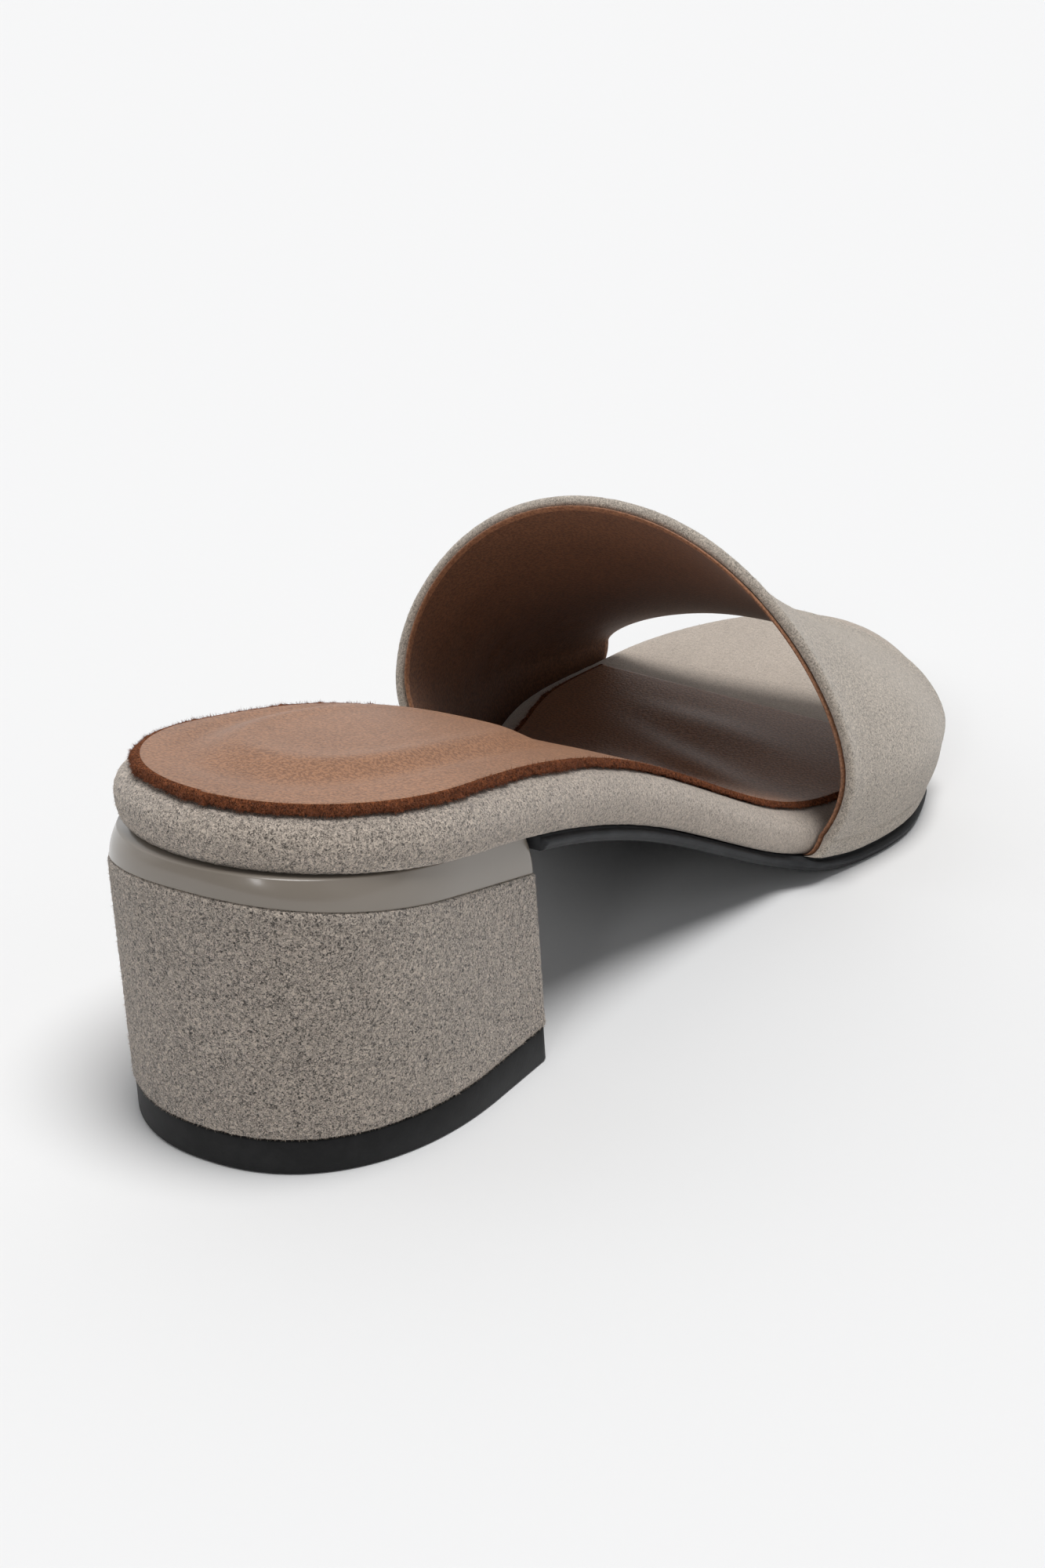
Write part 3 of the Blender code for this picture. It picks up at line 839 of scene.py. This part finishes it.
def heel_outline(level):
    """Closed outline of the heel at a level: breast, outer side, back and inner side."""
    half = heel_value(level, "width") * HEEL_WIDTH / 2
    back, front, bow = [heel_value(level, n) * HEEL_LENGTH for n in ("back", "front", "bow")]
    fullness = heel_value(level, "fullness")
    corner = np.linspace(math.pi / 2, 0, 13)
    x = [half - BREAST_CORNER * (1 - math.cos(t)) for t in corner]
    y = [front - BREAST_CORNER * (1 - math.sin(t)) for t in corner]
    for t in np.linspace(math.pi / 2, 0, 160):
        reach = bow * (1 - math.cos(t))
        x.append(half * (1 - (1 - reach / bow) ** fullness) ** (1 / fullness))
        y.append(back + reach)
    x = [0.0] + x
    y = [front] + y
    right = np.stack([x, y], -1)
    left = right[-2:0:-1] * (-1, 1)
    return np.concatenate([right, left])


def even_places(outline, count):
    """Places along an outline's own points, evenly far apart along its length."""
    closed = np.concatenate([outline, outline[:1]])
    run = np.concatenate([[0], np.cumsum(np.linalg.norm(np.diff(closed, axis=0), axis=1))])
    return np.interp(np.arange(count) * run[-1] / count, run, np.arange(len(closed)))


def heel_ring(level, places, height):
    """Ring of points at those places of a heel outline."""
    outline = heel_outline(level)
    closed = np.concatenate([outline, outline[:1]])
    index = np.arange(len(closed))
    x = np.interp(places, index, closed[:, 0])
    y = np.interp(places, index, closed[:, 1])
    return np.stack([x, y, height(y)], -1)


def ring_out(ring, out):
    """Ring moved outwards in its own plane."""
    along = np.roll(ring, -1, axis=0) - np.roll(ring, 1, axis=0)
    along /= np.hypot(along[:, 0], along[:, 1])[:, None]
    outward = np.stack([-along[:, 1], along[:, 0], 0 * along[:, 0]], -1)
    return ring + outward * out


def band_face(around, y):
    """Inner face of the band, 0.3 mm off the footbed's side below and free above it."""
    share = y / FOOTBED_LENGTH
    values = {name: table_curve(BAND, BAND_COLUMNS, name)(share) for name in BAND_COLUMNS[1:]}
    board, bed = board_thickness(y), bed_top(y)
    outer, inner = values["outer"] * BALL_WIDTH, values["inner"] * BALL_WIDTH
    outer_edge = outline_x(y, 1) + CLEARANCE
    inner_edge = outline_x(y, -1) - CLEARANCE
    belly = bed + values["belly"] * INSTEP_HEIGHT
    crown = bed + values["crown"] * INSTEP_HEIGHT
    turn = np.clip(around, 0, 1) * math.pi
    across, up = np.cos(turn), np.sin(turn)
    middle = (outer_edge + outer + inner_edge - inner) / 2
    half = (outer_edge + outer - inner_edge + inner) / 2
    arch_x = middle + half * np.sign(across) * np.abs(across) ** (2 / values["side"])
    arch_x = arch_x + values["lean"] * BALL_WIDTH * up ** 2
    arch_z = belly + (crown - belly) * up ** (2 / values["arch"])
    down = np.where(around < 0, -around, around - 1) / HEM
    above = np.clip(2 * down, 0, 1)
    below = np.clip(2 * down - 1, 0, 1)
    widest = bed - board / 2
    side_z = belly + (widest - belly) * above - board / 2 * below
    tuck = LOWER_ROUNDING * (1 - np.sqrt(1 - below ** 2))
    outer_x = outer_edge + outer * (1 - above ** 2) - tuck
    inner_x = inner_edge - inner * (1 - above ** 2) + tuck
    x = np.where(around < 0, outer_x, np.where(around > 1, inner_x, arch_x))
    z = np.where((around < 0) | (around > 1), side_z, arch_z)
    return np.stack([x, y, z], -1)


def band_surface(rows, run):
    """Inner face of the band and its outward normals, from outer hem to inner hem."""
    free = HEM / 2 * np.linspace(0, 1, HEM_ROWS + 1)[1:]
    bent = HEM / 2 * (1 + np.sin(np.linspace(0, math.pi / 2, HEM_ROWS + 1)))[1:]
    sides = np.concatenate([free, bent])
    around = np.concatenate([-sides[::-1], np.linspace(0, 1, rows), 1 + sides])
    along = np.linspace(0, 1, run)
    back = back_share(around)[:, None] * FOOTBED_LENGTH
    front = front_share(around)[:, None] * FOOTBED_LENGTH
    y = back + (front - back) * along
    face = band_face(np.repeat(around[:, None], run, 1), y)
    normal = np.cross(np.gradient(face, axis=1), np.gradient(face, axis=0))
    upright = 1 - ease((np.maximum(-around, around - 1) / HEM - 0.3) / 0.4)
    normal[..., 2] *= upright[:, None]
    normal /= np.linalg.norm(normal, axis=2)[..., None]
    return face, normal, around, along


def band_loops(face, normal, inner, outer, reach):
    """Closed loops of one layer of the band: inside, front fold, outside, back fold."""
    inside = face + normal * inner[..., None]
    outside = face + normal * outer[..., None]
    outside[..., 2] = np.maximum(outside[..., 2], bed_bottom(outside[..., 1]))
    turns = np.linspace(0, math.pi, FOLD_STEPS + 2)[1:-1]
    front_run = face[:, -1] - face[:, -2]
    front_run /= np.linalg.norm(front_run, axis=1)[:, None]
    back_run = face[:, 0] - face[:, 1]
    back_run /= np.linalg.norm(back_run, axis=1)[:, None]
    folds = []
    for start, end, run in ((inside[:, -1], outside[:, -1], front_run),
                            (outside[:, 0], inside[:, 0], back_run)):
        middle, half = (start + end) / 2, (start - end) / 2
        folds.append([middle + half * math.cos(t) + run * reach * math.sin(t) for t in turns])
    front = np.stack(folds[0], axis=1)
    back = np.stack(folds[1], axis=1)
    return np.concatenate([inside, front, outside[:, ::-1], back], axis=1)


def size(name, text, value):
    """Length that a user may change."""
    return FloatProperty(name=name, description=text, default=value, min=0.0, precision=5,
                         unit="LENGTH")


def paint(name, text, code):
    """Colour that a user may change, from an sRGB hex code."""
    return FloatVectorProperty(name=name, description=text, default=linear(code), min=0.0,
                               max=1.0, size=3, subtype="COLOR")


class SandalBand(bpy.types.PropertyGroup):
    """Sizes and colours of the band over the foot."""
    wall: size("Wall", "Thickness of suede and lining together", 0.0026)
    lining: size("Lining", "Thickness of the leather lining", 0.0007)
    groove: size("Groove", "Gap between the lining and the folded suede", 0.0001)
    fold: size("Fold", "How much thicker the suede is where it turns in", 0.0003)
    fuzz: size("Fuzz", "Length of the suede's loose fibres", 0.0006)
    suede: paint("Suede", "Colour of the band's suede", "#c0b5a8")
    # The lining is the same leather as the sock; its colour here is painted darker to stand for
    # the shade inside the band. The turned edge below keeps the leather's own colour.
    leather: paint("Lining leather", "Colour of the lining", "#6f4a31")
    edge: paint("Lining edge", "Colour of the lining where it turns at the rim", "#94674a")


class SandalFootbed(bpy.types.PropertyGroup):
    """Sizes and colours of the wrapped footbed and its sock."""
    nap: size("Nap", "Depth of the suede's coarse tufts", 0.00010)
    fuzz: size("Fuzz", "Length of the suede's loose fibres", 0.0006)
    sock: size("Sock", "Thickness of the leather sock and its backing", 0.0019)
    pad: size("Heel pad", "Height of the pad under the sock", 0.0013)
    pad_length: size("Pad length", "Length of the heel pad", 0.076)
    pad_width: size("Pad width", "Width of the heel pad", 0.038)
    suede: paint("Suede", "Colour of the footbed's cover", "#baada0")
    leather: paint("Sock leather", "Colour of the sock", "#94694b")
    fringe: size("Fringe", "Length of the fibres at the sock's cut edge", 0.0010)
    raw_edge: paint("Raw edge", "Colour of the sock's cut edge", "#75452c")


class SandalSole(bpy.types.PropertyGroup):
    """Colours of the outsole and the top piece."""
    rubber: paint("Outsole", "Colour of the outsole", "#28292b")
    lift: paint("Top piece", "Colour of the top piece", "#111112")


class SandalHeel(bpy.types.PropertyGroup):
    """Sizes and colours of the heel."""
    top_piece: size("Top piece", "Thickness of the rubber under the heel", 0.0064)
    nap: size("Nap", "Depth of the heel cover's coarse tufts", 0.00014)
    cover: size("Cover", "How far the suede stands past the rand and the top piece", 0.0003)
    fuzz: size("Fuzz", "Length of the suede's loose fibres", 0.0007)
    suede: paint("Suede", "Colour of the heel's cover", "#b0a498")
    rand: paint("Rand", "Colour of the moulded rand", "#837a6f")


class SandalStage(bpy.types.PropertyGroup):
    """Floor and light of the studio."""
    paper: paint("Paper", "Colour of the floor", "#ebebeb")
    sky: paint("Sky", "Colour of the studio's bright side", "#f4f4f4")
    shade: paint("Shade", "Colour of the studio's dark side", "#707173")


class SANDAL_OT_footbed(bpy.types.Operator):
    """Make the suede wrapped footbed"""
    bl_idname = "sandal.footbed"
    bl_label = "Footbed"

    def execute(self, context):
        own = context.scene.sandal_footbed
        suede = buffed_suede("footbed_buffed_suede", own.suede)
        piece = make_mesh("footbed_cover", footbed_loops(), [suede])
        points, _ = corners_of(piece)
        coarse = 1 - 0.55 * ease((points[:, 1] - 0.03) / 0.09)
        push_out(piece, own.nap * coarse * grain(points, 0.8 * MM, 3))
        settle(piece, "suede", "footbed")

        def bare_side(middle, normal):
            return (normal[:, 2] > -0.5) * (1.2 - ease((middle[:, 1] - 0.02) / 0.09))

        fuzz = fibre_material("footbed_suede_fibres", own.suede)
        grow_fibres("footbed_fuzz", piece, bare_side, own.fuzz, fuzz, "suede")
        return {"FINISHED"}


class SANDAL_OT_sock(bpy.types.Operator):
    """Make the leather sock with its heel pad and raw edge"""
    bl_idname = "sandal.sock"
    bl_label = "Sock"

    def execute(self, context):
        own = context.scene.sandal_footbed
        leather = sock_leather("sock_calf_leather", own.leather, 0.5, 0.12)
        raw = raw_cut_leather("sock_raw_cut_leather", own.raw_edge)
        grid, edge = sock_loops(own.sock, own.pad, own.pad_length, own.pad_width)
        columns = grid.shape[1]
        slots = np.zeros(columns, np.int32)
        slots[2:edge + UNDER_ACROSS + edge - 2] = 1
        piece = make_mesh("sock", grid, [leather, raw], slots, caps=("last",))
        points, normals = corners_of(piece)
        length = points[:, 1] + heel_centre()
        depth = points[:, 2] - bed_top(length) - CLEARANCE
        share = depth / sock_thickness(length, own.sock)
        rough = (1 - ease((share - 0.80) / 0.2)) * ease(share / 0.1)
        rough = rough * (np.abs(normals[:, 2]) < 0.8) * cut_raggedness(length)
        push_out(piece, rough * (0.55 * MM * grain(points, 0.9 * MM, 11)
                                 + 0.34 * MM * lattice_noise(points, 4 * MM, 13)))
        settle(piece, "insole_leather", "insole")

        def cut_edge(middle, normal):
            length = middle[:, 1] + heel_centre()
            depth = middle[:, 2] - bed_top(length) - CLEARANCE
            share = depth / sock_thickness(length, own.sock)
            beside = (share < 0.98) * (share > 0.05) * (np.abs(normal[:, 2]) < 0.8)
            return beside * cut_raggedness(length)

        loose = fibre_material("sock_raw_fibres", own.raw_edge)
        grow_fibres("sock_raw_edge_fibres", piece, cut_edge, own.fringe, loose,
                    "insole_leather")
        return {"FINISHED"}


class SANDAL_OT_outsole(bpy.types.Operator):
    """Make the thin rubber outsole"""
    bl_idname = "sandal.outsole"
    bl_label = "Outsole"

    def execute(self, context):
        own = context.scene.sandal_sole
        rubber = moulded_rubber("outsole_moulded_rubber", own.rubber, 0.55)
        wall = context.scene.sandal_band.wall
        piece = make_mesh("outsole_unit", outsole_loops(wall), [rubber], caps=("last",))
        settle(piece, "rubber", "outsole")
        return {"FINISHED"}


class SANDAL_OT_band(bpy.types.Operator):
    """Make the band: its folded suede and its leather lining"""
    bl_idname = "sandal.band"
    bl_label = "Band"

    def execute(self, context):
        own = context.scene.sandal_band
        face, normal, around, along = band_surface(BAND_ROWS, BAND_RUN)
        rows = len(face)
        suede = buffed_suede("band_buffed_suede", own.suede)
        inner = np.full((rows, BAND_RUN), own.lining + own.groove)
        from_rim = np.minimum(along, 1 - along) * RIM_RUN
        swell = own.fold * np.exp(-(from_rim / RIM_SWELL_RUN) ** 2)
        outer = np.full((rows, BAND_RUN), own.wall) + swell
        cover = band_loops(face, normal, inner, outer, SUEDE_TURN)
        piece = make_mesh("band_cover", cover, [suede], caps=("first", "last"))
        points, _ = corners_of(piece)
        push_out(piece, 0.05 * MM * grain(points, 0.9 * MM, 23)
                 + 0.12 * MM * lattice_noise(points, 17 * MM, 29))
        settle(piece, "suede", "upper")

        def rims(middle, normal):
            return 0.25 + 3.0 * (np.abs(normal[:, 1]) > 0.55)

        fuzz = fibre_material("band_suede_fibres", own.suede)
        grow_fibres("band_fuzz", piece, rims, own.fuzz, fuzz, "suede")
        # The lining's dark colour is painted shade for the dim inside of the band, not the
        # leather's own tone.
        leather = sock_leather("band_lining_leather_painted_shade", own.leather, 0.6, 0.15)
        face, normal, around, along = band_surface(LINING_ROWS, LINING_RUN)
        none = np.zeros(face.shape[:2])
        slack = ease(1 - np.abs(around - 0.92) / 0.25)[:, None] * np.sin(math.pi * along)
        crease = lattice_noise((face * (1, 1.6, 0.7)).reshape(-1, 3), 5 * MM, 37)
        crease = 0.35 * MM * slack * crease.reshape(slack.shape)
        inside = band_loops(face, normal, crease, none + own.lining, LINING_TURN)
        edge = sock_leather("band_lining_turned_edge", own.edge, 0.5, 0.12)
        slots = np.zeros(inside.shape[1], np.int32)
        slots[LINING_RUN - 1:LINING_RUN + FOLD_STEPS] = 1
        slots[2 * LINING_RUN + FOLD_STEPS - 1:] = 1
        lining = make_mesh("band_lining", inside, [leather, edge], slots,
                           caps=("first", "last"))
        settle(lining, "insole_leather", "upper")
        return {"FINISHED"}


class SANDAL_OT_heel(bpy.types.Operator):
    """Make the heel: its rubber top piece, suede cover and glossy rand"""
    bl_idname = "sandal.heel"
    bl_label = "Heel"

    def execute(self, context):
        own = context.scene.sandal_heel
        places = even_places(heel_outline("floor"), HEEL_POINTS)
        floor = heel_ring("floor", places, lambda y: 0 * y)
        plane = heel_ring("plane", places, heel_plane)
        seat = heel_ring("seat", places, lambda y: bed_bottom(y) - CLEARANCE)

        def level(share):
            return floor + (plane - floor) * share[:, None]

        lift = own.top_piece / plane[:, 2]
        rings = [ring_out(level(lift * share), out) for share, out in TOP_PIECE_EDGE]
        rubber = moulded_rubber("top_piece_moulded_rubber", context.scene.sandal_sole.lift, 0.5)
        piece = make_mesh("heel_lift", np.stack(rings), [rubber], caps=("first", "last"))
        settle(piece, "rubber", "heel_top_piece")

        start = (own.top_piece + HEEL_SEAM) / plane[:, 2]
        end = 1 - HEEL_SEAM / plane[:, 2]
        rings = []
        for share in np.linspace(0, 1, HEEL_LEVELS):
            gap = min(share, 1 - share) * (SEAT_HEIGHT - BOARD_THICKNESS - own.top_piece)
            turn = min(1.0, gap / COVER_TURN_HEIGHT)
            out = own.cover - COVER_TURN_DEPTH * (1 - math.sqrt(1 - (1 - turn) ** 2))
            rings.append(ring_out(level(start + (end - start) * share), out))
        suede = buffed_suede("heel_buffed_suede", own.suede)
        piece = make_mesh("heel_cover", np.stack(rings), [suede], caps=("first", "last"))
        points, normals = corners_of(piece)
        upright = np.abs(normals[:, 2]) < 0.8
        push_out(piece, own.nap * upright * grain(points, 0.8 * MM, 41))
        settle(piece, "suede", "heel")

        order = np.argsort(plane[:, 1])

        def worn_edges(middle, normal):
            high = np.interp(middle[:, 1], plane[:, 1][order], plane[:, 2][order])
            from_edge = np.minimum(high - middle[:, 2], middle[:, 2] - own.top_piece)
            return (np.abs(normal[:, 2]) < 0.9) * (0.5 + 3 * np.exp(-(from_edge / 0.001) ** 2))

        fuzz = fibre_material("heel_suede_fibres", own.suede)
        grow_fibres("heel_fuzz", piece, worn_edges, own.fuzz, fuzz, "suede")

        rings = []
        for share in np.linspace(0, 1, RAND_LEVELS):
            bulge = RAND_BULGE * math.sin(math.pi * share)
            rings.append(ring_out(plane + (seat - plane) * share, bulge))
        gloss = moulded_gloss("rand_moulded_gloss", own.rand)
        piece = make_mesh("rand", np.stack(rings), [gloss], caps=("first", "last"))
        settle(piece, "moulded_rand", "heel_rand")
        return {"FINISHED"}


class SANDAL_OT_stage(bpy.types.Operator):
    """Set the floor, the lights and the camera"""
    bl_idname = "sandal.stage"
    bl_label = "Stage"

    def execute(self, context):
        own = context.scene.sandal_stage
        scene = context.scene
        scene.view_settings.view_transform = "Standard"
        bpy.ops.mesh.primitive_plane_add(size=FLOOR_SIZE)
        floor = context.object
        floor.name = "floor"
        floor.data.materials.append(studio_paper("studio_paper", own.paper))

        world = bpy.data.worlds.new("studio")
        world.use_nodes = True
        tree = world.node_tree
        toward = add_node(tree, "TexCoord").outputs["Generated"]
        facing = add_node(tree, "VectorMath", {0: toward, 1: GLOW}, operation="DOT_PRODUCT")
        glow = add_node(tree, "ValToRGB", {"Fac": facing.outputs["Value"]},
                        stops=[(GLOW_START, own.shade), (GLOW_END, own.sky)])
        sky = tree.nodes["Background"]
        tree.links.new(glow.outputs["Color"], sky.inputs["Color"])
        scene.world = world

        for name, toward, strength, angle in LIGHTS:
            light = bpy.data.lights.new(name, "SUN")
            light.energy = strength
            light.angle = math.radians(angle)
            lamp = bpy.data.objects.new(name, light)
            lamp.rotation_euler = Vector(toward).to_track_quat("Z", "Y").to_euler()
            scene.collection.objects.link(lamp)

        azimuth, elevation, roll = [math.radians(a) for a in CAMERA_TURN]
        look = Vector((-math.sin(azimuth) * math.cos(elevation),
                       math.cos(azimuth) * math.cos(elevation), -math.sin(elevation)))
        lens = bpy.data.cameras.new("photo_camera")
        lens.lens = CAMERA_LENS
        lens.sensor_width = CAMERA_SENSOR
        lens.clip_start = 0.01
        camera = bpy.data.objects.new("photo_camera", lens)
        camera.location = CAMERA_PLACE
        camera.rotation_mode = "QUATERNION"
        turn = Quaternion((0, 0, 1), roll)
        camera.rotation_quaternion = look.to_track_quat("-Z", "Y") @ turn
        scene.collection.objects.link(camera)
        scene.camera = camera
        return {"FINISHED"}


class SANDAL_PT_panel(bpy.types.Panel):
    """Sizes, colours and steps of the sandal"""
    bl_idname = "SANDAL_PT_panel"
    bl_label = "Block heel sandal"
    bl_space_type = "VIEW_3D"
    bl_region_type = "UI"
    bl_category = "Sandal"

    def draw(self, context):
        for name in GROUPS:
            group = getattr(context.scene, name)
            box = self.layout.box()
            box.label(text=name.replace("_", " "))
            for prop in group.__annotations__:
                box.prop(group, prop)
        for step in STEPS:
            self.layout.operator(step.bl_idname)


GROUPS = {
    "sandal_band": SandalBand,
    "sandal_footbed": SandalFootbed,
    "sandal_sole": SandalSole,
    "sandal_heel": SandalHeel,
    "sandal_stage": SandalStage,
}
STEPS = (SANDAL_OT_footbed, SANDAL_OT_sock, SANDAL_OT_outsole, SANDAL_OT_band,
         SANDAL_OT_heel, SANDAL_OT_stage)
KINDS = (*GROUPS.values(), *STEPS, SANDAL_PT_panel)


def register():
    """Register the groups, the operators and the panel."""
    for kind in KINDS:
        bpy.utils.register_class(kind)
    for name, group in GROUPS.items():
        setattr(bpy.types.Scene, name, PointerProperty(type=group))


def unregister():
    """Take the classes and their values out again."""
    for name in GROUPS:
        delattr(bpy.types.Scene, name)
    for kind in reversed(KINDS):
        bpy.utils.unregister_class(kind)


def main():
    """Build every piece, then the stage."""
    register()
    for step in ("footbed", "sock", "outsole", "band", "heel", "stage"):
        getattr(bpy.ops.sandal, step)()


if __name__ == "__main__":
    main()
